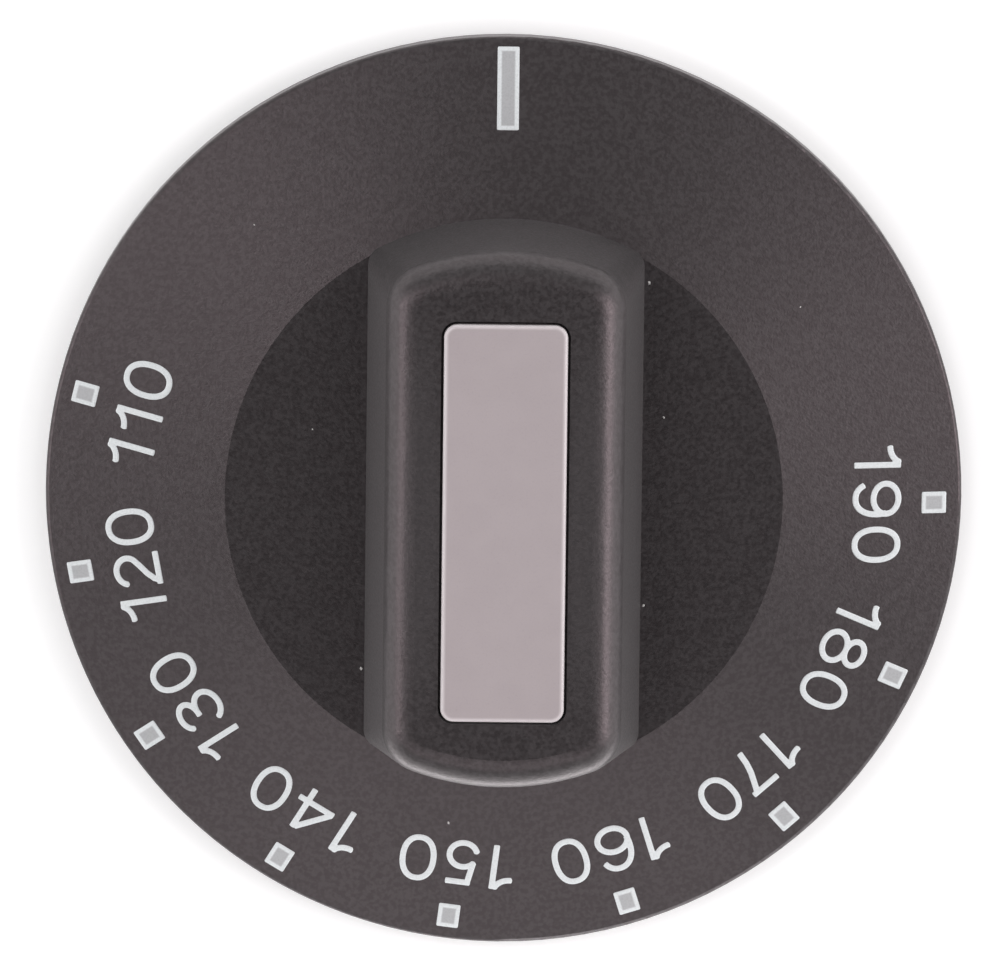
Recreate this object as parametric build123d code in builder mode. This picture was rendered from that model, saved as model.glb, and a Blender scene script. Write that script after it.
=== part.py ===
from build123d import *
import os
from math import atan2, cos, degrees, radians, tan

os.makedirs("parts", exist_ok=True)

# Skirt: a shallow cone on an upright rim, with a flat dial floor inside it
knob_diameter = 70.0
dial_diameter = 42.5
skirt_rise = 3.5
wall = 1.8
rim_lip = 0.6
rim_round = 0.35

# Grip bar across the dial, its ends turned about the shaft axis, its corners sharp at the foot
grip_width = 21.0
grip_length = 43.0
grip_height = 12.6
grip_side_draft = 8.0
grip_end_draft = 5.8
grip_foot_corner = 1.3
grip_top_corner = 3.7
grip_top_round = 2.4
grip_sink = 0.5

# Inlay plate set in the top of the grip on locating pegs
inlay_width = 9.3
inlay_length = 30.2
inlay_corner = 1.0
inlay_thickness = 1.2
inlay_proud = 0.15
inlay_edge = 0.25
inlay_gap = 0.2
peg_diameter = 2.0
peg_spacing = 20.0
peg_gap = 0.05

# Hub for a round shaft with one flat, with webs out to the grip's walls
shaft_diameter = 6.0
shaft_across_flat = 4.6
shaft_gap = 0.05
entry_gap = 0.3
entry_length = 4.0
entry_chamfer = 0.4
hub_diameter = 11.5
hub_recess = 0.8
web_thickness = 1.4
web_spacing = 7.0

# Leaf spring in a slot beside the bore, bowed onto the shaft's flat
spring_thickness = 0.4
spring_width = 3.3
spring_grip = 0.1
spring_foot = 1.9
spring_bend = 0.45
spring_bow_bend = 1.6
spring_flat = 2.2
spring_gap = 0.15

# Sizes that follow from those above
knob_radius = knob_diameter / 2
dial_radius = dial_diameter / 2
skirt_angle = degrees(atan2(skirt_rise, knob_radius - dial_radius))
rim_height = rim_lip + wall * tan(radians(90 - skirt_angle) / 2)
dial_level = rim_height + skirt_rise
dial_underside = dial_level - wall
grip_top = dial_level + grip_height
grip_core_corner = grip_top_corner - wall
inlay_seat = grip_top + inlay_proud - inlay_thickness
roof_underside = inlay_seat - wall
bore_radius = shaft_diameter / 2 + shaft_gap
bore_flat = shaft_across_flat - shaft_diameter / 2 + shaft_gap
bore_end = roof_underside - wall / 2
entry_radius = shaft_diameter / 2 + entry_gap
entry_end = hub_recess + entry_chamfer + entry_length
slot_back = entry_radius + spring_thickness + shaft_gap
slot_end = bore_end - wall
foot_seat = hub_recess + spring_thickness + shaft_gap
spring_crown = shaft_across_flat - shaft_diameter / 2 - spring_grip


def grip_outline(level, inset, corner):
    """Half of the grip's outline at a level, moved in by an inset, with its two corners rounded."""
    side, end = radians(grip_side_draft), radians(grip_end_draft)
    half_width = grip_width / 2 - (level - dial_level) * tan(side) - inset / cos(side)
    end_radius = grip_length / 2 - (level - dial_level) * tan(end) - inset / cos(end)
    with BuildSketch(Plane.XY.offset(level)) as outline:
        Circle(end_radius)
        Rectangle(
            2 * half_width,
            end_radius,
            align=(Align.CENTER, Align.MIN),
            mode=Mode.INTERSECT,
        )
        fillet(outline.vertices().sort_by(Axis.Y)[-2:], corner)
    return outline.sketch


# Space cored out of the grip from below, around the hub and its webs
with BuildPart() as grip_core:
    loft(
        (
            grip_outline(dial_underside, wall, grip_core_corner),
            grip_outline(roof_underside, wall, grip_core_corner),
        ),
        ruled=True,
    )
    mirror(about=Plane.XZ)
    with BuildSketch(Plane.XY.offset(dial_underside)):
        Circle(hub_diameter / 2)
        Rectangle(grip_width, web_thickness)
        with GridLocations(web_spacing, 0, 2, 1):
            Rectangle(web_thickness, grip_length)
    extrude(amount=roof_underside - dial_underside, mode=Mode.SUBTRACT)

# Grip, drafted on all sides, with corners that open toward its rounded top
with BuildPart() as grip_block:
    loft(
        (
            grip_outline(dial_level - grip_sink, 0, grip_foot_corner),
            grip_outline(grip_top, 0, grip_top_corner),
        ),
        ruled=True,
    )
    fillet(grip_block.faces().sort_by(Axis.Z)[-1].edges().sort_by(Axis.Y)[1:], grip_top_round)
    mirror(about=Plane.XZ)

# Body: one moulding of skirt, dial floor, grip and hub
with BuildPart() as knob_body:
    with BuildSketch(Plane.XZ) as skirt_sketch:
        with BuildLine():
            Polyline(
                (0, 0),
                (knob_radius, 0),
                (knob_radius, rim_height),
                (dial_radius, dial_level),
                (0, dial_level),
                close=True,
            )
        make_face()
        fillet(skirt_sketch.vertices().sort_by_distance((knob_radius, rim_height))[0], rim_round)
    revolve(axis=Axis.Z)
    add(grip_block.part)

    # Pocket for the inlay
    with BuildSketch(Plane.XY.offset(inlay_seat)):
        RectangleRounded(
            inlay_width + 2 * inlay_gap,
            inlay_length + 2 * inlay_gap,
            inlay_corner + inlay_gap,
        )
    extrude(amount=inlay_thickness, mode=Mode.SUBTRACT)

    # Hollow underside, with the cored grip and the holes for the inlay's pegs
    with BuildSketch(Plane.XZ):
        with BuildLine():
            Polyline(
                (0, 0),
                (knob_radius - wall, 0),
                (knob_radius - wall, rim_lip),
                (dial_radius - wall * tan(radians(skirt_angle) / 2), dial_underside),
                (0, dial_underside),
                close=True,
            )
        make_face()
    revolve(axis=Axis.Z, mode=Mode.SUBTRACT)
    add(grip_core.part, mode=Mode.SUBTRACT)
    with BuildSketch(Plane.XY.offset(roof_underside)):
        with GridLocations(0, peg_spacing, 1, 2):
            Circle(peg_diameter / 2 + peg_gap)
    extrude(amount=wall, mode=Mode.SUBTRACT)

    # Hub end, with a round entry, a bore with one flat, and the spring's slot
    with BuildSketch(Plane.XY.offset(hub_recess)):
        Circle(hub_diameter / 2)
    extrude(amount=dial_underside - hub_recess)
    with BuildSketch(Plane.XY.offset(hub_recess)):
        Circle(bore_radius)
        with Locations((0, bore_flat)):
            Rectangle(hub_diameter, hub_diameter, align=(Align.CENTER, Align.MIN), mode=Mode.SUBTRACT)
    extrude(amount=bore_end - hub_recess, mode=Mode.SUBTRACT)
    with BuildSketch(Plane.XZ):
        with BuildLine():
            Polyline(
                (0, hub_recess),
                (entry_radius + entry_chamfer, hub_recess),
                (entry_radius, hub_recess + entry_chamfer),
                (entry_radius, entry_end),
                (0, entry_end),
                close=True,
            )
        make_face()
    revolve(axis=Axis.Z, mode=Mode.SUBTRACT)
    with BuildSketch(Plane.YZ):
        with BuildLine():
            Polyline(
                (0, hub_recess),
                (hub_diameter, hub_recess),
                (hub_diameter, foot_seat),
                (slot_back + spring_bend, foot_seat),
                (slot_back, foot_seat + spring_bend),
                (slot_back, slot_end),
                (0, slot_end),
                close=True,
            )
        make_face()
    extrude(amount=spring_width / 2 + spring_gap, both=True, mode=Mode.SUBTRACT)
knob_body.part.label = "knob_body"
export_step(knob_body.part, "parts/knob_body.step")

# Inlay: a flat plate with two pegs under it
with BuildPart() as grip_inlay:
    with BuildSketch(Plane.XY.offset(inlay_seat)):
        RectangleRounded(inlay_width, inlay_length, inlay_corner)
    extrude(amount=inlay_thickness)
    fillet(grip_inlay.faces().sort_by(Axis.Z)[-1].edges(), inlay_edge)
    with BuildSketch(Plane.XY.offset(roof_underside)):
        with GridLocations(0, peg_spacing, 1, 2):
            Circle(peg_diameter / 2)
    extrude(amount=wall)
grip_inlay.part.label = "grip_inlay"
export_step(grip_inlay.part, "parts/grip_inlay.step")

# Spring: one bent strip, hooked over the hub's mouth
strip_line = slot_back - spring_thickness / 2
foot_line = foot_seat - spring_thickness / 2
crown_line = spring_crown + spring_thickness / 2
bow_start = entry_end
bow_end = slot_end - spring_thickness
bow_middle = (bow_start + bow_end) / 2
with BuildPart() as shaft_spring:
    with BuildSketch(Plane.YZ):
        with BuildLine():
            FilletPolyline(
                (strip_line + spring_foot, foot_line),
                (strip_line, foot_line),
                (strip_line, bow_start),
                (crown_line, bow_middle - spring_flat / 2),
                (crown_line, bow_middle + spring_flat / 2),
                (strip_line, bow_end),
                radius=[spring_bend, spring_bow_bend, spring_bow_bend, spring_bow_bend],
            )
        trace(line_width=spring_thickness)
    extrude(amount=spring_width / 2, both=True)
shaft_spring.part.label = "shaft_spring"
export_step(shaft_spring.part, "parts/shaft_spring.step")
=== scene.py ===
"""Looks of a temperature control knob: print on the skirt, finishes, dust, light and camera."""

import logging
import math
from collections.abc import Callable
from dataclasses import dataclass
from enum import Enum

import bmesh
import bpy
import numpy as np
from mathutils import Matrix, Vector
from mathutils.bvhtree import BVHTree


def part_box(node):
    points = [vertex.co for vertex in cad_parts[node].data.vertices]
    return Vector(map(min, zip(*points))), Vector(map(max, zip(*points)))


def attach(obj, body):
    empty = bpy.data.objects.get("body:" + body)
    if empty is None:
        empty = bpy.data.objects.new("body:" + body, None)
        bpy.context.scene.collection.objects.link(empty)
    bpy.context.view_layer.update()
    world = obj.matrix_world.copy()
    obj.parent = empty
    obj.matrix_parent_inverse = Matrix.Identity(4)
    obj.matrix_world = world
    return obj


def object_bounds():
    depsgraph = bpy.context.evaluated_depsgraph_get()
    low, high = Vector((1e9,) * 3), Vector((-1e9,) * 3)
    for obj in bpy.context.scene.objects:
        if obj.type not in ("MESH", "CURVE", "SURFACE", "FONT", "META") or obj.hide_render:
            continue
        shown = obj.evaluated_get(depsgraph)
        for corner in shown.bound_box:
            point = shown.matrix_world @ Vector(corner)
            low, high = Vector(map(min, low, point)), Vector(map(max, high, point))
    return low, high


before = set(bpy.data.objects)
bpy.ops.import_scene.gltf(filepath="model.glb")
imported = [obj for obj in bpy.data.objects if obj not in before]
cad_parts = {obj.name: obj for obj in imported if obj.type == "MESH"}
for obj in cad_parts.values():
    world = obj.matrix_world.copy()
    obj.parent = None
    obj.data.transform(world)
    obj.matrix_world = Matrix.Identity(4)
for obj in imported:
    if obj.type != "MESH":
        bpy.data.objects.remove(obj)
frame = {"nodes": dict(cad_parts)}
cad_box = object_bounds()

logging.basicConfig(level=logging.INFO, format="%(message)s")
log = logging.getLogger("control_knob")

# One millimetre in metres, and the degrees between points of a drawn curve
MM = 0.001
ARC_STEP = 8.0

# Body that all pieces ride on
BODY = "root"

# Colours of light, and shares that grow or fade
WHITE = (1.0, 1.0, 1.0)
WARM = (1.0, 0.915, 0.94)
RISING = (0.0, 1.0)
FALLING = (1.0, 0.0)

Point = tuple[float, float]
Triple = tuple[float, float, float]
Colour = tuple[float, float, float]
Socket = bpy.types.NodeSocket
Value = Socket | Colour | float


class Node(Enum):
    """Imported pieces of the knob."""

    BODY = "knob_body"
    INLAY = "grip_inlay"
    SPRING = "shaft_spring"


class Mixing(Enum):
    """Ways to bring two colours together."""

    COVER = "MIX"
    SHADE = "MULTIPLY"


def rgba(colour: Colour) -> tuple[float, float, float, float]:
    """A colour with full cover."""
    return (*colour, 1.0)


def put(name: str, data: bpy.types.ID) -> bpy.types.Object:
    """Puts an object into the scene.

    Args:
        name: Name of the object.
        data: Its mesh, lamp or camera.

    Returns:
        The object.
    """
    item = bpy.data.objects.new(name, data)
    bpy.context.scene.collection.objects.link(item)
    return item


def mould(name: str, shape: bmesh.types.BMesh) -> bpy.types.Object:
    """Turns a finished shape into an object of the scene.

    Args:
        name: Name of the object.
        shape: The shape, which is freed.

    Returns:
        The object.
    """
    mesh = bpy.data.meshes.new(name)
    shape.to_mesh(mesh)
    shape.free()
    return put(name, mesh)


class ShaderSheet:
    """Node tree of one material, with short calls that add and link its nodes."""

    # Places of the sockets on a colour mix
    MIX_INPUTS = (0, 6, 7)
    MIX_OUTPUT = 2

    def __init__(self, name: str) -> None:
        """Starts a material with one principled shader.

        Args:
            name: Name of the material.
        """
        self.material = bpy.data.materials.new(name)
        self.material.use_nodes = True
        self.tree = self.material.node_tree
        self.shader = self.tree.nodes["Principled BSDF"]
        self.place = self.add("ShaderNodeTexCoord").outputs["Object"]

    def add(self, kind: str) -> bpy.types.Node:
        """Adds a node of a kind."""
        return self.tree.nodes.new(kind)

    def link(self, source: Socket, target: Socket) -> None:
        """Joins an output to an input."""
        self.tree.links.new(source, target)

    def feed(self, target: Socket, value: Value) -> None:
        """Joins an output to an input, or sets the input itself.

        Args:
            target: The input.
            value: An output, a colour or a number.
        """
        if isinstance(value, Socket):
            self.link(value, target)
        elif isinstance(value, tuple):
            target.default_value = rgba(value)
        else:
            target.default_value = value

    def give(self, name: str, value: Value) -> None:
        """Gives a value to an input of the shader."""
        self.feed(self.shader.inputs[name], value)

    def noise(self, size: float, detail: float = 2.0, stretch: Triple = (1, 1, 1)) -> Socket:
        """Adds a cloud pattern in the row frame.

        Args:
            size: Width of one lump in millimetres.
            detail: Number of finer layers.
            stretch: Scale of the pattern along each axis.

        Returns:
            The pattern's value, about 0 to 1.
        """
        mapping = self.add("ShaderNodeMapping")
        mapping.inputs["Scale"].default_value = stretch
        pattern = self.add("ShaderNodeTexNoise")
        pattern.inputs["Scale"].default_value = 1 / (size * MM)
        pattern.inputs["Detail"].default_value = detail
        self.link(self.place, mapping.inputs["Vector"])
        self.link(mapping.outputs["Vector"], pattern.inputs["Vector"])
        return pattern.outputs["Fac"]

    def spread(self, value: Socket, source: Point, target: Point) -> Socket:
        """Maps one range of a value smoothly onto another.

        Args:
            value: The value to map.
            source: Start and end of its own range.
            target: What the two ends become.

        Returns:
            The mapped value.
        """
        node = self.add("ShaderNodeMapRange")
        node.interpolation_type = "SMOOTHSTEP"
        for name, number in zip(("From Min", "From Max", "To Min", "To Max"), (*source, *target)):
            node.inputs[name].default_value = number
        self.link(value, node.inputs["Value"])
        return node.outputs["Result"]

    def mix(self, share: Value, first: Value, second: Value, way: Mixing = Mixing.COVER) -> Socket:
        """Mixes two colours by a share.

        Args:
            share: 0 for the first colour alone, 1 for all of the second.
            first: The colour that lies under.
            second: The colour that covers or shades it.
            way: How the second acts on the first.

        Returns:
            The mixed colour.
        """
        node = self.add("ShaderNodeMix")
        node.data_type = "RGBA"
        node.blend_type = way.value
        for place, value in zip(self.MIX_INPUTS, (share, first, second)):
            self.feed(node.inputs[place], value)
        return node.outputs[self.MIX_OUTPUT]

    def shade(self, colour: Socket, tint: Socket) -> Socket:
        """Multiplies a colour by a value."""
        return self.mix(1.0, colour, tint, Mixing.SHADE)

    def calculate(self, operation: str, first: Socket, second: Value) -> Socket:
        """Works on a number.

        Args:
            operation: Name of the operation.
            first: The number to work on.
            second: The number that it is worked with.

        Returns:
            The result.
        """
        node = self.add("ShaderNodeMath")
        node.operation = operation
        self.feed(node.inputs[0], first)
        self.feed(node.inputs[1], second)
        return node.outputs["Value"]

    def vector(self, operation: str, source: Socket, second: Triple = (0, 0, 0)) -> bpy.types.Node:
        """Works on a vector.

        Args:
            operation: Name of the operation.
            source: The vector to work on.
            second: The vector that it is worked with, where the operation takes two.

        Returns:
            The node, with the result as its vector or its value.
        """
        node = self.add("ShaderNodeVectorMath")
        node.operation = operation
        node.inputs[1].default_value = second
        self.link(source, node.inputs[0])
        return node

    def edge_distance(self, half: Point, corner: float) -> Socket:
        """Distance from the edge of a rounded plate about the shaft axis, seen from above.

        Args:
            half: Half of the plate's width and length in millimetres.
            corner: Corner radius in millimetres.

        Returns:
            The distance in millimetres, negative inside.
        """
        point = self.place
        for operation, second in (
            ("MULTIPLY", (1 / MM, 1 / MM, 0)),
            ("ABSOLUTE", (0, 0, 0)),
            ("SUBTRACT", (half[0] - corner, half[1] - corner, 0)),
            ("MAXIMUM", (0, 0, 0)),
        ):
            point = self.vector(operation, point, second).outputs["Vector"]
        return self.calculate("SUBTRACT", self.vector("LENGTH", point).outputs["Value"], corner)

    def spot_distance(self, centre: Triple, reach: Triple) -> Socket:
        """Distance from the middle of two like spots, one on each side of the shaft axis.

        Args:
            centre: Middle of the spot on the right, in millimetres.
            reach: How far the spot reaches along each axis, in millimetres.

        Returns:
            The distance, 1 at the spot's edge.
        """
        point = self.place
        for operation, second in (
            ("ABSOLUTE", (0, 0, 0)),
            ("SUBTRACT", tuple(part * MM for part in centre)),
            ("DIVIDE", tuple(part * MM for part in reach)),
        ):
            point = self.vector(operation, point, second).outputs["Vector"]
        return self.vector("LENGTH", point).outputs["Value"]

    def emboss(self, height: Socket, depth: float) -> None:
        """Gives the shader a bump.

        Args:
            height: Pattern of the bump.
            depth: Depth in millimetres.
        """
        node = self.add("ShaderNodeBump")
        node.inputs["Strength"].default_value = 1.0
        node.inputs["Distance"].default_value = depth * MM
        self.link(height, node.inputs["Height"])
        self.give("Normal", node.outputs["Normal"])


@dataclass(frozen=True)
class CharcoalPlastic:
    """Dark moulded plastic, grained and mottled, with a painted highlight: paler colour along the
    top edges of the grip.
    """

    name: str = "charcoal_moulded_plastic"
    deep: Colour = (0.0116, 0.0112, 0.0115)
    pale: Colour = (0.0140, 0.0135, 0.0138)
    cloud_size: float = 1.6
    cloud_range: Point = (0.3, 0.7)
    mottle_size: float = 0.36
    mottle_range: Point = (0.35, 0.65)
    mottle_shade: Point = (0.45, 1.55)
    # Painted highlight: paler colour in two bands along the top edges of the grip, where the
    # rounding catches the light
    rubbed: Colour = (0.0324, 0.0312, 0.0319)
    rubbed_share: float = 0.6
    rubbed_side: float = 6.2
    rubbed_reach: Triple = (2.3, 19.0, 2.4)
    rubbed_band: Point = (0.35, 1.0)
    grain_size: float = 0.2
    grain_depth: float = 0.02
    grain_range: Point = (0.2, 0.8)
    gloss: Point = (0.33, 0.44)
    shine: float = 0.8
    shine_tint: Colour = (1.0, 0.86, 0.89)
    bloom: float = 0.15
    bloom_spread: float = 0.36
    bloom_tint: Colour = (1.0, 0.94, 0.955)

    def build(self) -> bpy.types.Material:
        """Makes the material.

        Returns:
            The finished material.
        """
        sheet = ShaderSheet(self.name)
        clouds = sheet.noise(self.cloud_size, detail=4.0)
        mottle = sheet.noise(self.mottle_size, detail=1.0)
        grain = sheet.noise(self.grain_size, detail=3.0)
        grip_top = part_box(Node.BODY.value)[1][2] / MM
        highlight_distance = sheet.spot_distance((self.rubbed_side, 0, grip_top), self.rubbed_reach)
        tone = sheet.mix(sheet.spread(clouds, self.cloud_range, RISING), self.deep, self.pale)
        tone = sheet.shade(tone, sheet.spread(mottle, self.mottle_range, self.mottle_shade))
        # Paints the highlight bands along the grip's top edges into the base colour
        highlight_mask = sheet.spread(highlight_distance, self.rubbed_band, (self.rubbed_share, 0))
        sheet.give("Base Color", sheet.mix(highlight_mask, tone, self.rubbed))
        sheet.give("Roughness", sheet.spread(grain, self.grain_range, self.gloss))
        sheet.give("Specular IOR Level", self.shine)
        sheet.give("Specular Tint", self.shine_tint)
        sheet.give("Sheen Weight", self.bloom)
        sheet.give("Sheen Roughness", self.bloom_spread)
        sheet.give("Sheen Tint", self.bloom_tint)
        sheet.emboss(grain, self.grain_depth)
        return sheet.material


@dataclass(frozen=True)
class GreyPlastic:
    """Light grey satin plastic of the inlay, nearly even, with pits and a painted highlight along
    its rounded edge.
    """

    name: str = "grey_satin_plastic"
    deep: Colour = (0.374, 0.327, 0.337)
    pale: Colour = (0.385, 0.337, 0.347)
    cloud_size: float = 2.2
    cloud_range: Point = (0.3, 0.7)
    # Painted highlight: paler colour in a band along the inlay's rounded edge
    rubbed: Colour = (0.60, 0.55, 0.56)
    rubbed_band: Point = (-0.42, -0.12)
    corner: float = 1.0
    pit_size: float = 0.16
    pit_depth: float = 0.003
    pit_range: Point = (0.2, 0.5)
    pit_shade: Point = (0.94, 1.0)
    gloss_range: Point = (0.2, 0.8)
    gloss: Point = (0.36, 0.46)
    shine: float = 0.7

    def build(self) -> bpy.types.Material:
        """Makes the material.

        Returns:
            The finished material.
        """
        sheet = ShaderSheet(self.name)
        clouds = sheet.noise(self.cloud_size, detail=3.0)
        pits = sheet.noise(self.pit_size)
        low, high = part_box(Node.INLAY.value)
        half = ((high[0] - low[0]) / 2 / MM, (high[1] - low[1]) / 2 / MM)
        # Share of the painted edge highlight, highest at the inlay's edge
        edge = sheet.spread(sheet.edge_distance(half, self.corner), self.rubbed_band, RISING)
        tone = sheet.mix(sheet.spread(clouds, self.cloud_range, RISING), self.deep, self.pale)
        tone = sheet.shade(tone, sheet.spread(pits, self.pit_range, self.pit_shade))
        sheet.give("Base Color", sheet.mix(edge, tone, self.rubbed))
        sheet.give("Roughness", sheet.spread(pits, self.gloss_range, self.gloss))
        sheet.give("Specular IOR Level", self.shine)
        sheet.emboss(pits, self.pit_depth)
        return sheet.material


@dataclass(frozen=True)
class SpringSteel:
    """Cold-rolled spring strip with fine lines along its length and a straw tint."""

    name: str = "rolled_spring_steel"
    bright: Colour = (0.56, 0.55, 0.54)
    dull: Colour = (0.40, 0.385, 0.36)
    stain_size: float = 1.2
    line_width: float = 0.05
    line_stretch: Triple = (1.0, 0.04, 0.04)
    line_depth: float = 0.002
    line_range: Point = (0.3, 0.7)
    gloss: Point = (0.24, 0.4)

    def build(self) -> bpy.types.Material:
        """Makes the material.

        Returns:
            The finished material.
        """
        sheet = ShaderSheet(self.name)
        lines = sheet.noise(self.line_width, detail=3.0, stretch=self.line_stretch)
        stain = sheet.noise(self.stain_size, detail=3.0)
        sheet.give("Metallic", 1.0)
        sheet.give("Base Color", sheet.mix(stain, self.bright, self.dull))
        sheet.give("Roughness", sheet.spread(lines, self.line_range, self.gloss))
        sheet.emboss(lines, self.line_depth)
        return sheet.material


@dataclass(frozen=True)
class ScaleInk:
    """Light grey stamped print that lies thicker, and so paler, along its edges."""

    name: str = "stamped_scale_ink"
    field: Colour = (0.41, 0.415, 0.425)
    edge: Colour = (0.69, 0.72, 0.73)
    edge_band: Point = (0.25, 0.40)
    grain_size: float = 0.14
    grain_range: Point = (0.3, 0.6)
    grain_shade: Point = (0.9, 1.0)
    gloss_range: Point = (0.3, 0.7)
    gloss: Point = (0.42, 0.55)

    def build(self, attribute: str) -> bpy.types.Material:
        """Makes the material.

        Args:
            attribute: Mesh attribute with the distance from the mark's edge, in millimetres.

        Returns:
            The finished material.
        """
        sheet = ShaderSheet(self.name)
        depth = sheet.add("ShaderNodeAttribute")
        depth.attribute_name = attribute
        share = sheet.spread(depth.outputs["Fac"], self.edge_band, FALLING)
        grain = sheet.noise(self.grain_size)
        tone = sheet.mix(share, self.field, self.edge)
        tone = sheet.shade(tone, sheet.spread(grain, self.grain_range, self.grain_shade))
        sheet.give("Base Color", tone)
        sheet.give("Roughness", sheet.spread(grain, self.gloss_range, self.gloss))
        return sheet.material


@dataclass(frozen=True)
class DustLint:
    """Pale dust with a slightly uneven tone."""

    name: str = "pale_dust"
    pale: Colour = (0.62, 0.61, 0.60)
    grey: Colour = (0.42, 0.40, 0.39)
    lump_size: float = 0.08
    roughness: float = 0.9

    def build(self) -> bpy.types.Material:
        """Makes the material.

        Returns:
            The finished material.
        """
        sheet = ShaderSheet(self.name)
        sheet.give("Base Color", sheet.mix(sheet.noise(self.lump_size), self.grey, self.pale))
        sheet.give("Roughness", self.roughness)
        return sheet.material


@dataclass(frozen=True)
class MattWhite:
    """Matt white paint with faint clouds, for what the knob lies on."""

    name: str
    tint: float
    cloud_size: float
    glow: float
    paint: Colour = (0.80, 0.80, 0.80)

    def coat(self) -> ShaderSheet:
        """Starts the material.

        Returns:
            The paint, which has no glow yet.
        """
        sheet = ShaderSheet(self.name)
        shaded = tuple(self.tint * part for part in self.paint)
        sheet.give("Base Color", sheet.mix(sheet.noise(self.cloud_size), self.paint, shaded))
        sheet.give("Roughness", 1.0)
        sheet.give("Emission Color", WHITE)
        return sheet


@dataclass(frozen=True)
class StudioFloor(MattWhite):
    """Matt white floor that the camera sees as plain white, with the soft shadow kept."""

    name: str = "white_floor"
    tint: float = 0.98
    cloud_size: float = 40.0
    glow: float = 0.32

    def build(self) -> bpy.types.Material:
        """Makes the material.

        Returns:
            The finished material.
        """
        sheet = self.coat()
        rays = sheet.add("ShaderNodeLightPath")
        seen = rays.outputs["Is Camera Ray"]
        for kind in ("Is Glossy Ray", "Is Transmission Ray"):
            seen = sheet.calculate("MAXIMUM", seen, rays.outputs[kind])
        sheet.give("Specular IOR Level", 0.0)
        sheet.give("Emission Strength", sheet.calculate("MULTIPLY", seen, self.glow))
        return sheet.material


@dataclass(frozen=True)
class BounceCard(MattWhite):
    """White card that throws light up at the near end of the grip."""

    name: str = "white_card"
    tint: float = 0.97
    cloud_size: float = 8.0
    glow: float = 4.0

    def build(self) -> bpy.types.Material:
        """Makes the material.

        Returns:
            The finished material.
        """
        sheet = self.coat()
        sheet.give("Emission Strength", self.glow)
        return sheet.material


def oval(
    centre: Point, radii: Point, start: float, stop: float, fullness: float = 2.0
) -> list[Point]:
    """Points along an oval.

    Args:
        centre: Middle of the oval.
        radii: Half width and half height.
        start: First angle in degrees, counter-clockwise from the right.
        stop: Last angle in degrees, less than start for a clockwise run.
        fullness: 2 for an ellipse, more for squarer shoulders.

    Returns:
        Points with even steps of the angle.
    """
    steps = max(2, round(abs(stop - start) / ARC_STEP))
    run = [math.radians(start + (stop - start) * i / steps) for i in range(steps + 1)]
    power = 2 / fullness
    return [
        (
            centre[0] + radii[0] * math.copysign(abs(math.cos(a)) ** power, math.cos(a)),
            centre[1] + radii[1] * math.copysign(abs(math.sin(a)) ** power, math.sin(a)),
        )
        for a in run
    ]


@dataclass(frozen=True)
class Digit:
    """One figure of the scale as pen strokes, in millimetres above its baseline."""

    width: float
    strokes: tuple[tuple[Point, ...], ...]

    def turned(self, height: float) -> "Digit":
        """The same figure turned upside down.

        Args:
            height: Sum of the figure's lowest and highest point.

        Returns:
            The turned figure.
        """
        flipped = tuple(
            tuple((self.width - x, height - y) for x, y in stroke) for stroke in self.strokes
        )
        return Digit(self.width, flipped)


@dataclass
class DigitSet:
    """Plain upright figures 0 to 9 of even stroke."""

    height: float = 3.55
    overshoot: float = 0.11
    stroke: float = 0.46
    waist: float = 1.98

    def figures(self) -> dict[str, Digit]:
        """Draws all ten figures.

        Returns:
            Each figure by its character.
        """
        half = self.stroke / 2
        top = self.height - half
        foot = half - self.overshoot
        crown = self.height + self.overshoot - half
        middle = (foot + crown) / 2
        tall = (crown - foot) / 2
        upper, upper_half = (crown + self.waist) / 2, (crown - self.waist) / 2
        lower, lower_half = (foot + self.waist) / 2, (self.waist - foot) / 2
        six = Digit(
            2.83,
            (
                tuple(oval((1.43, foot + 0.96), (1.165, 0.96), 0, 360)),
                tuple(oval((1.46, middle), (1.225, tall), 34, 204, 2.2)),
            ),
        )
        return {
            "0": Digit(2.83, (tuple(oval((1.415, middle), (1.18, tall), 0, 360, 2.25)),)),
            "1": Digit(
                1.73,
                (
                    ((1.45, 0.0), (1.45, self.height)),
                    tuple(oval((0.0, 3.72), (1.28, 1.0), -90, -12)),
                ),
            ),
            "2": Digit(
                2.53,
                (
                    (
                        *oval((1.25, crown - 0.90), (1.02, 0.90), 170, -36),
                        (1.60, 1.60),
                        (0.92, 1.10),
                        (0.46, 0.62),
                        (0.28, half),
                    ),
                    ((0.0, half), (2.53, half)),
                ),
            ),
            "3": Digit(
                2.74,
                (
                    tuple(oval((1.31, upper), (1.02, upper_half), 163, -90)),
                    ((0.98, self.waist), (1.36, self.waist)),
                    tuple(oval((1.31, lower), (1.19, lower_half), 90, -166)),
                ),
            ),
            "4": Digit(
                3.04,
                (
                    ((2.26, 0.0), (2.26, self.height)),
                    ((0.0, 1.12), (3.04, 1.12)),
                    ((0.12, 1.16), (0.26, 1.30), (2.10, 3.42)),
                ),
            ),
            "5": Digit(
                2.57,
                (
                    ((0.50, top), (2.38, top)),
                    ((0.74, self.height - 0.08), (0.44, 1.66)),
                    tuple(oval((1.27, foot + 0.98), (1.06, 0.98), 146, -164)),
                ),
            ),
            "6": six,
            "7": Digit(
                2.37,
                (
                    ((0.0, top), (2.37, top)),
                    (
                        (2.09, self.height - 0.1),
                        (1.70, 2.58),
                        (1.36, 1.78),
                        (1.14, 0.96),
                        (1.02, 0.0),
                    ),
                ),
            ),
            "8": Digit(
                2.80,
                (
                    tuple(oval((1.40, upper), (0.97, upper_half), 0, 360)),
                    tuple(oval((1.40, lower), (1.16, lower_half), 0, 360)),
                ),
            ),
            "9": six.turned(self.height),
        }


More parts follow.
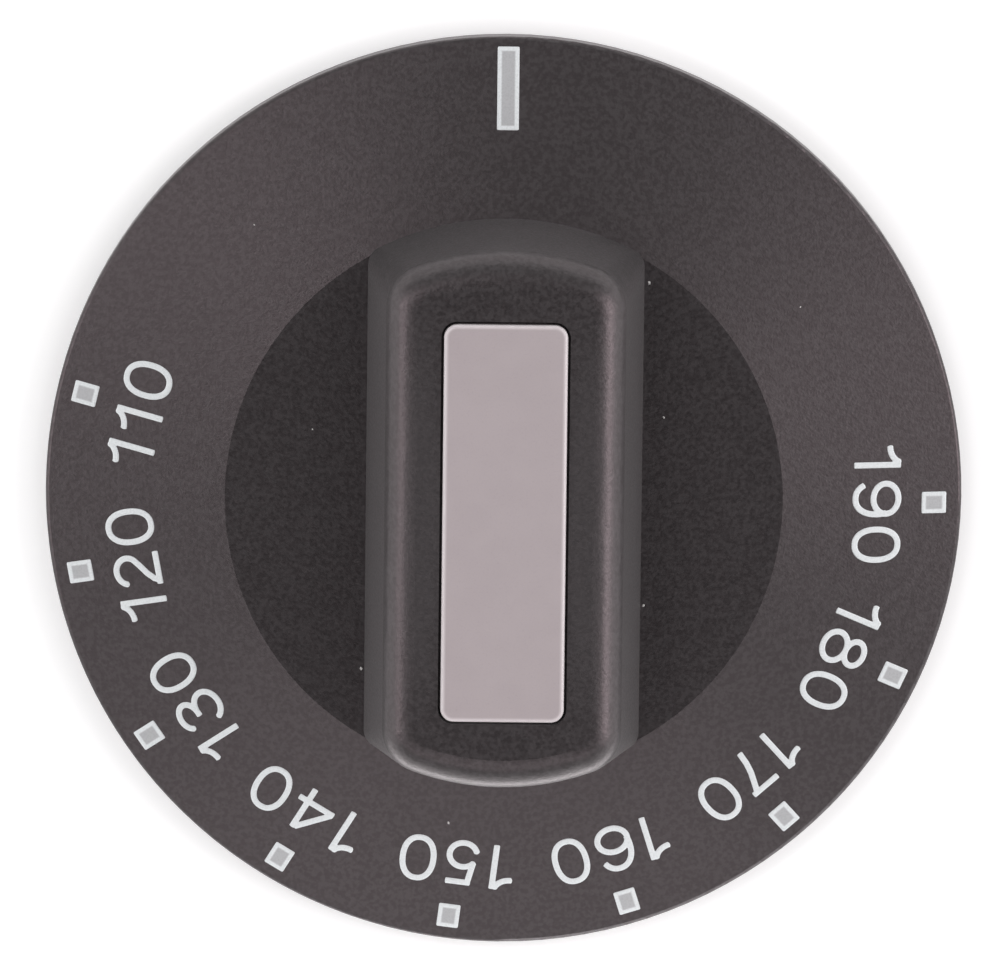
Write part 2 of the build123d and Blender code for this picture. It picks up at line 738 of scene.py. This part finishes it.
@dataclass
class Carrier:
    """Outer surface of a piece, for what lies on it."""

    tree: BVHTree
    drop_height: float = 1.0

    def land(self, plan: Vector) -> tuple[Vector, Vector]:
        """Finds the surface under a point seen from above.

        Args:
            plan: The point in plan, in millimetres.

        Returns:
            The place on the surface in metres, and the surface's normal.
        """
        above = Vector((plan.x * MM, plan.y * MM, self.drop_height))
        spot, normal, _, _ = self.tree.ray_cast(above, Vector((0, 0, -1)))
        return spot, normal


@dataclass
class PrintedFilm:
    """Thin printed film that lies on a carrier, made from the outline's distance field."""

    carrier: Carrier
    cell: float = 0.065
    thickness: float = 0.035
    shoulder: float = 0.09
    sink: float = 0.03
    corner: float = 0.1
    margin: int = 1
    attribute: str = "edge_depth"

    def stroke_field(
        self, grid: np.ndarray, strokes: list[list[Point]], width: float
    ) -> np.ndarray:
        """Distance of grid points from the edge of pen strokes, with flat stroke ends.

        Args:
            grid: Points as an array of rows (x, y).
            strokes: Lines that the pen follows.
            width: Width of the pen.

        Returns:
            Signed distances, negative inside.
        """
        field = np.full(len(grid), np.inf)
        half = width / 2
        for stroke in strokes:
            line = np.array(stroke)
            closed = np.allclose(line[0], line[-1])
            for i, (start, end) in enumerate(zip(line[:-1], line[1:])):
                run = end - start
                length = float(np.hypot(*run))
                along = (grid - start) @ run / length
                across = np.abs((grid - start) @ np.array((-run[1], run[0]))) / length
                past = np.maximum(-along, along - length)
                distance = np.hypot(np.maximum(past, 0), across) - half
                if not closed:
                    at_start = (i == 0) & (along < 0)
                    at_end = (i == len(line) - 2) & (along > length)
                    flat = self.box_field(past, across - half)
                    distance = np.where(at_start | at_end, flat, distance)
                field = np.minimum(field, distance)
        return field

    def box_field(self, over_x: np.ndarray, over_y: np.ndarray) -> np.ndarray:
        """Distance from a box with rounded corners.

        Args:
            over_x: How far each point lies past the box's end.
            over_y: How far each point lies past the box's side.

        Returns:
            Signed distances, negative inside.
        """
        x = over_x + self.corner
        y = over_y + self.corner
        outside = np.hypot(np.maximum(x, 0), np.maximum(y, 0))
        return outside + np.minimum(np.maximum(x, y), 0) - self.corner

    def contour(
        self, field: np.ndarray, columns: int, rows: int, grid: np.ndarray
    ) -> tuple[list[np.ndarray], list[float], list[list[int]]]:
        """Cuts a grid along the zero line of a field.

        Args:
            field: Signed distance at each grid point.
            columns: Points in a row.
            rows: Number of rows.
            grid: The points themselves, row by row.

        Returns:
            Points, depths inside the edge, and faces as rings of point numbers.
        """
        points: list[np.ndarray] = []
        depths: list[float] = []
        faces: list[list[int]] = []
        known: dict[tuple[int, int], int] = {}

        def number(first: int, second: int) -> int:
            """Numbers a grid point, or the cut between two grid points.

            Args:
                first: Place of the first point in the grid.
                second: Place of the second, the same as the first for the point itself.

            Returns:
                The number of the point.
            """
            key = (min(first, second), max(first, second))
            if key not in known:
                known[key] = len(points)
                if first == second:
                    points.append(grid[first])
                    depths.append(-field[first])
                else:
                    share = field[first] / (field[first] - field[second])
                    points.append(grid[first] + share * (grid[second] - grid[first]))
                    depths.append(0.0)
            return known[key]

        inside = field < 0
        for row in range(rows - 1):
            for column in range(columns - 1):
                low = row * columns + column
                ring = (low, low + 1, low + columns + 1, low + columns)
                if not any(inside[corner] for corner in ring):
                    continue
                face = []
                for here, following in zip(ring, ring[1:] + ring[:1]):
                    if inside[here]:
                        face.append(number(here, here))
                    if inside[here] != inside[following]:
                        face.append(number(here, following))
                faces.append(face)
        return points, depths, faces

    def lay(
        self,
        name: str,
        field: Callable[[np.ndarray], np.ndarray],
        reach: tuple[Point, Point],
        place: Matrix,
    ) -> bpy.types.Object:
        """Makes a film whose outline is the zero line of a field.

        Args:
            name: Name of the piece.
            field: Function that gives the signed distance at an array of points.
            reach: Lowest and highest corner of the outline, in millimetres.
            place: Where the outline lies in plan, seen from above, in millimetres.

        Returns:
            The film as a closed mesh on the carrier.
        """
        (left, low), (right, high) = reach
        columns = math.ceil((right - left) / self.cell) + 1 + 2 * self.margin
        rows = math.ceil((high - low) / self.cell) + 1 + 2 * self.margin
        xs = left + self.cell * (np.arange(columns) - self.margin)
        ys = low + self.cell * (np.arange(rows) - self.margin)
        grid = np.stack(np.meshgrid(xs, ys), axis=-1).reshape(-1, 2)
        points, depths, faces = self.contour(field(grid), columns, rows, grid)

        sheet = bmesh.new()
        layer = sheet.verts.layers.float.new(self.attribute)
        upper, lower = [], []
        for point, depth in zip(points, depths):
            spot, normal = self.carrier.land(place @ Vector((point[0], point[1], 0)))
            rise = min(1.0, depth / self.shoulder)
            rise = self.thickness * rise * (2 - rise)
            upper.append(sheet.verts.new(spot + normal * rise * MM))
            lower.append(sheet.verts.new(spot - normal * self.sink * MM))
            upper[-1][layer] = depth
            lower[-1][layer] = depth
        for face in faces:
            sheet.faces.new([upper[i] for i in face])
        sheet.verts.index_update()
        for edge in [edge for edge in sheet.edges if edge.is_boundary]:
            loop = edge.link_loops[0]
            first, second = loop.vert.index // 2, loop.link_loop_next.vert.index // 2
            sheet.faces.new((upper[second], upper[first], lower[first], lower[second]))
        for face in faces:
            sheet.faces.new([lower[i] for i in reversed(face)])
        for face in sheet.faces:
            face.smooth = True
        return mould(name, sheet)


@dataclass
class TemperatureScale:
    """Print on the skirt: an index bar, nine squares and their temperatures."""

    first: int = 110
    step: int = 10
    count: int = 9
    start_angle: float = 76.72
    pitch: float = 24.13
    shift: Point = (0.0, -0.22)
    square_radius: float = 32.87
    square_size: Point = (1.66, 1.89)
    index_width: float = 1.66
    index_reach: Point = (28.27, 34.48)
    baseline: float = 26.70
    label_left: float = -4.42
    digit_gap: float = 0.70
    gap_after_one: float = 0.92

    def build(self, film: PrintedFilm, ink: bpy.types.Material) -> list[bpy.types.Object]:
        """Lays the whole scale on the skirt.

        Args:
            film: Maker of the films.
            ink: Material of the print.

        Returns:
            All marks.
        """
        inner, outer = self.index_reach
        index_size = (self.index_width, outer - inner)
        marks = [self.block(film, "index_bar", 0.0, (inner + outer) / 2, index_size)]
        digits = DigitSet()
        for i in range(self.count):
            angle = self.start_angle + i * self.pitch
            value = self.first + i * self.step
            square = f"square_{value}"
            marks.append(self.block(film, square, angle, self.square_radius, self.square_size))
            marks.append(self.label(film, digits, str(value), angle))
        for mark in marks:
            mark.data.materials.append(ink)
            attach(mark, BODY)
        return marks

    def place(self, angle: float, radius: float) -> Matrix:
        """Place of a mark whose head points away from the shaft.

        Args:
            angle: Angle from the index in degrees, counter-clockwise from above.
            radius: Distance of the mark's origin from the scale's middle.

        Returns:
            The placing matrix in plan, in millimetres.
        """
        turn = Matrix.Rotation(math.radians(angle), 4, "Z")
        return Matrix.Translation((*self.shift, 0)) @ turn @ Matrix.Translation((0, radius, 0))

    def block(
        self, film: PrintedFilm, name: str, angle: float, radius: float, size: Point
    ) -> bpy.types.Object:
        """Lays a rectangular mark.

        Args:
            film: Maker of the films.
            name: Name of the mark.
            angle: Angle from the index in degrees.
            radius: Distance of the mark's middle from the scale's middle.
            size: Width along the skirt, and length out from the middle.

        Returns:
            The mark.
        """
        half = (size[0] / 2, size[1] / 2)

        def field(grid: np.ndarray) -> np.ndarray:
            """Distance from the rectangle's edge."""
            return film.box_field(np.abs(grid[:, 0]) - half[0], np.abs(grid[:, 1]) - half[1])

        return film.lay(name, field, ((-half[0], -half[1]), half), self.place(angle, radius))

    def label(
        self, film: PrintedFilm, digits: DigitSet, text: str, angle: float
    ) -> bpy.types.Object:
        """Lays one temperature, read with its head away from the shaft.

        Args:
            film: Maker of the films.
            digits: The figures.
            text: The temperature's figures.
            angle: Angle from the index in degrees.

        Returns:
            The label.
        """
        figures = digits.figures()
        strokes = []
        left = self.label_left
        for character in text:
            figure = figures[character]
            strokes += [[(left + x, y) for x, y in stroke] for stroke in figure.strokes]
            left += figure.width + (self.gap_after_one if character == "1" else self.digit_gap)

        def field(grid: np.ndarray) -> np.ndarray:
            """Distance from the edge of the pen strokes."""
            return film.stroke_field(grid, strokes, digits.stroke)

        reach = ((self.label_left, -digits.overshoot), (left, digits.height + digits.overshoot))
        return film.lay(f"label_{text}", field, reach, self.place(angle, self.baseline))


@dataclass
class DustFlecks:
    """A few flecks of dust, each lying on the body where it settled."""

    spots: tuple[Point, ...] = (
        (10.85, 16.7),
        (-10.72, -13.2),
        (10.75, -8.1),
        (-3.95, -25.3),
        (12.1, 6.4),
        (-14.6, 5.2),
        (22.4, 14.8),
        (-19.2, 20.6),
    )
    size: Triple = (0.3, 0.22, 0.14)
    shrink: float = 0.88
    roughness: float = 0.35
    seed: int = 7

    def build(self, carrier: Carrier, lint: bpy.types.Material) -> list[bpy.types.Object]:
        """Drops all flecks.

        Args:
            carrier: Surface that they lie on.
            lint: Material of the dust.

        Returns:
            The flecks, the largest first.
        """
        chance = np.random.default_rng(self.seed)
        flecks = []
        for i, (x, y) in enumerate(self.spots):
            spot, normal = carrier.land(Vector((x, y, 0)))
            sheet = bmesh.new()
            bmesh.ops.create_icosphere(sheet, subdivisions=2, radius=0.5)
            for vert in sheet.verts:
                vert.co *= 1 + self.roughness * chance.uniform(-1, 1)
            grow = self.shrink ** i * MM
            scale = Matrix.Diagonal((*(side * grow for side in self.size), 1))
            turn = normal.to_track_quat("Z", "Y").to_matrix().to_4x4()
            spin = Matrix.Rotation(chance.uniform(0, math.pi), 4, "Z")
            sheet.transform(Matrix.Translation(spot) @ turn @ spin @ scale)
            fleck = mould(f"dust_fleck_{i + 1}", sheet)
            fleck.data.materials.append(lint)
            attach(fleck, BODY)
            flecks.append(fleck)
        return flecks


@dataclass(frozen=True)
class Lamp:
    """Soft lamp on the knob, placed by its direction from the shaft axis."""

    name: str
    azimuth: float
    lean: float
    size: Point
    level: float
    tint: Colour = WARM
    distance: float = 0.9

    def hang(self) -> None:
        """Hangs the lamp so that it faces the knob."""
        lamp = bpy.data.lights.new(self.name, "AREA")
        lamp.shape = "RECTANGLE"
        lamp.size, lamp.size_y = self.size
        lamp.energy = self.level * math.pi * self.size[0] * self.size[1]
        lamp.color = self.tint
        turn = Matrix.Rotation(math.radians(self.azimuth), 4, "Z")
        tip = Matrix.Rotation(-math.radians(self.lean), 4, "X")
        put(self.name, lamp).matrix_world = turn @ tip @ Matrix.Translation((0, 0, self.distance))


@dataclass
class Studio:
    """White floor and card, a pale tent of light by height, soft lamps, and the camera."""

    floor_radius: float = 4.0
    floor_steps: int = 96
    opening_radius: float = 0.034
    floor_gap: float = 0.00002
    tent: tuple[tuple[float, float], ...] = (
        (-1.0, 0.5),
        (-0.02, 0.5),
        (0.0, 2.2),
        (0.12, 1.9),
        (0.26, 0.8),
        (0.42, 0.5),
        (0.66, 0.5),
        (0.76, 0.7),
        (0.87, 0.52),
        (0.94, 0.24),
        (1.0, 0.05),
    )
    tent_tint: Colour = (0.96, 1.0, 0.992)
    lamps: tuple[Lamp, ...] = (
        Lamp("left_lamp", azimuth=90.0, lean=56.0, size=(0.62, 0.34), level=3.3),
        Lamp("right_lamp", azimuth=270.0, lean=58.5, size=(0.62, 0.36), level=5.0),
        Lamp("right_fill", azimuth=286.0, lean=34.0, size=(0.44, 0.38), level=1.0),
        Lamp("corner_fill", azimuth=54.0, lean=29.0, size=(0.42, 0.27), level=2.1),
        Lamp("near_fill", azimuth=174.0, lean=36.0, size=(0.95, 0.18), level=2.0),
    )
    card_size: Point = (0.12, 0.036)
    card_gap: float = 0.006
    picture: Point = (1000.0, 975.0)
    tilt: float = 8.6
    lean: float = -0.2
    roll: float = 0.65
    distance: float = 0.9
    aim_height: float = 0.001
    aim_pixel: Point = (503.62, 490.05)
    pixels_per_mm: float = 13.07
    sensor: float = 36.0

    def build(self) -> None:
        """Sets up the floor, the light and the camera."""
        self.lay_floor()
        self.lay_card()
        self.light_tent()
        for lamp in self.lamps:
            lamp.hang()
        self.aim_camera()
        bpy.context.scene.view_settings.view_transform = "Standard"

    def lay_floor(self) -> None:
        """Lays the floor just under the rim, with a round opening that the rim covers."""
        steps = self.floor_steps
        corners = []
        for radius in (self.opening_radius, self.floor_radius):
            turns = (2 * math.pi * i / steps for i in range(steps))
            ring = ((radius * math.cos(a), radius * math.sin(a)) for a in turns)
            corners += [(x, y, -self.floor_gap) for x, y in ring]
        faces = [(i, steps + i, steps + (i + 1) % steps, (i + 1) % steps) for i in range(steps)]
        mesh = bpy.data.meshes.new("floor")
        mesh.from_pydata(corners, [], faces)
        mesh.materials.append(StudioFloor().build())
        put("floor", mesh)

    def lay_card(self) -> None:
        """Lays a bright card on the floor just beyond the near side of the rim."""
        width, length = self.card_size
        front = cad_box[0][1] - self.card_gap
        sides = ((-1, front - length), (1, front - length), (1, front), (-1, front))
        corners = [(side * width / 2, y, self.floor_gap) for side, y in sides]
        mesh = bpy.data.meshes.new("bounce_card")
        mesh.from_pydata(corners, [], [(0, 1, 2, 3)])
        mesh.materials.append(BounceCard().build())
        put("bounce_card", mesh)

    def light_tent(self) -> None:
        """Lights the scene from all around, by the height of each direction."""
        world = bpy.data.worlds.new("light_tent")
        world.use_nodes = True
        tree = world.node_tree
        direction = tree.nodes.new("ShaderNodeTexCoord")
        split = tree.nodes.new("ShaderNodeSeparateXYZ")
        share = tree.nodes.new("ShaderNodeMapRange")
        share.inputs["From Min"].default_value = -1.0
        ramp = tree.nodes.new("ShaderNodeValToRGB")
        ramp.color_ramp.interpolation = "EASE"
        elements = ramp.color_ramp.elements
        while len(elements) < len(self.tent):
            elements.new(0.5)
        for element, (height, level) in zip(elements, self.tent):
            element.position = (1 + height) / 2
            element.color = rgba(tuple(level * part for part in self.tent_tint))
        tree.links.new(direction.outputs["Generated"], split.inputs["Vector"])
        tree.links.new(split.outputs["Z"], share.inputs["Value"])
        tree.links.new(share.outputs["Result"], ramp.inputs["Fac"])
        tree.links.new(ramp.outputs["Color"], tree.nodes["Background"].inputs["Color"])
        bpy.context.scene.world = world

    def aim_camera(self) -> None:
        """Puts the camera where the knob was seen from, a little beyond the index."""
        tilt, lean, roll = (math.radians(a) for a in (self.tilt, self.lean, self.roll))
        toward = Vector((math.tan(lean), math.tan(tilt), 1)).normalized()
        right = Vector((0, 1, 0)).cross(toward).normalized()
        up = toward.cross(right)
        turned_right = right * math.cos(roll) + up * math.sin(roll)
        turned_up = up * math.cos(roll) - right * math.sin(roll)
        across = (self.picture[0] / 2 - self.aim_pixel[0]) / self.pixels_per_mm * MM
        upward = (self.aim_pixel[1] - self.picture[1] / 2) / self.pixels_per_mm * MM
        middle = Vector((0, 0, self.aim_height)) + turned_right * across + turned_up * upward
        camera = bpy.data.cameras.new("camera")
        camera.sensor_fit = "HORIZONTAL"
        camera.sensor_width = self.sensor
        camera.lens = self.sensor * self.distance / (self.picture[0] / self.pixels_per_mm * MM)
        holder = put("camera", camera)
        axes = Matrix((turned_right, turned_up, toward)).transposed().to_4x4()
        holder.matrix_world = Matrix.Translation(middle + toward * self.distance) @ axes
        bpy.context.scene.camera = holder


@dataclass
class KnobPieces:
    """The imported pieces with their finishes."""

    nodes: dict[str, bpy.types.Object]

    def dress(self) -> None:
        """Gives each piece its finish."""
        finishes = {
            Node.BODY: CharcoalPlastic(),
            Node.INLAY: GreyPlastic(),
            Node.SPRING: SpringSteel(),
        }
        for node, finish in finishes.items():
            material = finish.build()
            for slot in self.nodes[node.value].material_slots:
                slot.material = material
            log.info("finish %s on %s", finish.name, node.value)

    def carrier(self) -> Carrier:
        """Outer surface of the body."""
        body = self.nodes[Node.BODY.value]
        return Carrier(BVHTree.FromObject(body, bpy.context.evaluated_depsgraph_get()))


def main() -> None:
    """Builds the looks in order."""
    pieces = KnobPieces(frame["nodes"])
    pieces.dress()
    carrier = pieces.carrier()
    film = PrintedFilm(carrier)
    for mark in TemperatureScale().build(film, ScaleInk().build(film.attribute)):
        log.info("print %s, %d faces", mark.name, len(mark.data.polygons))
    for fleck in DustFlecks().build(carrier, DustLint().build()):
        log.info("dust %s", fleck.name)
    Studio().build()


if __name__ == "__main__":
    main()
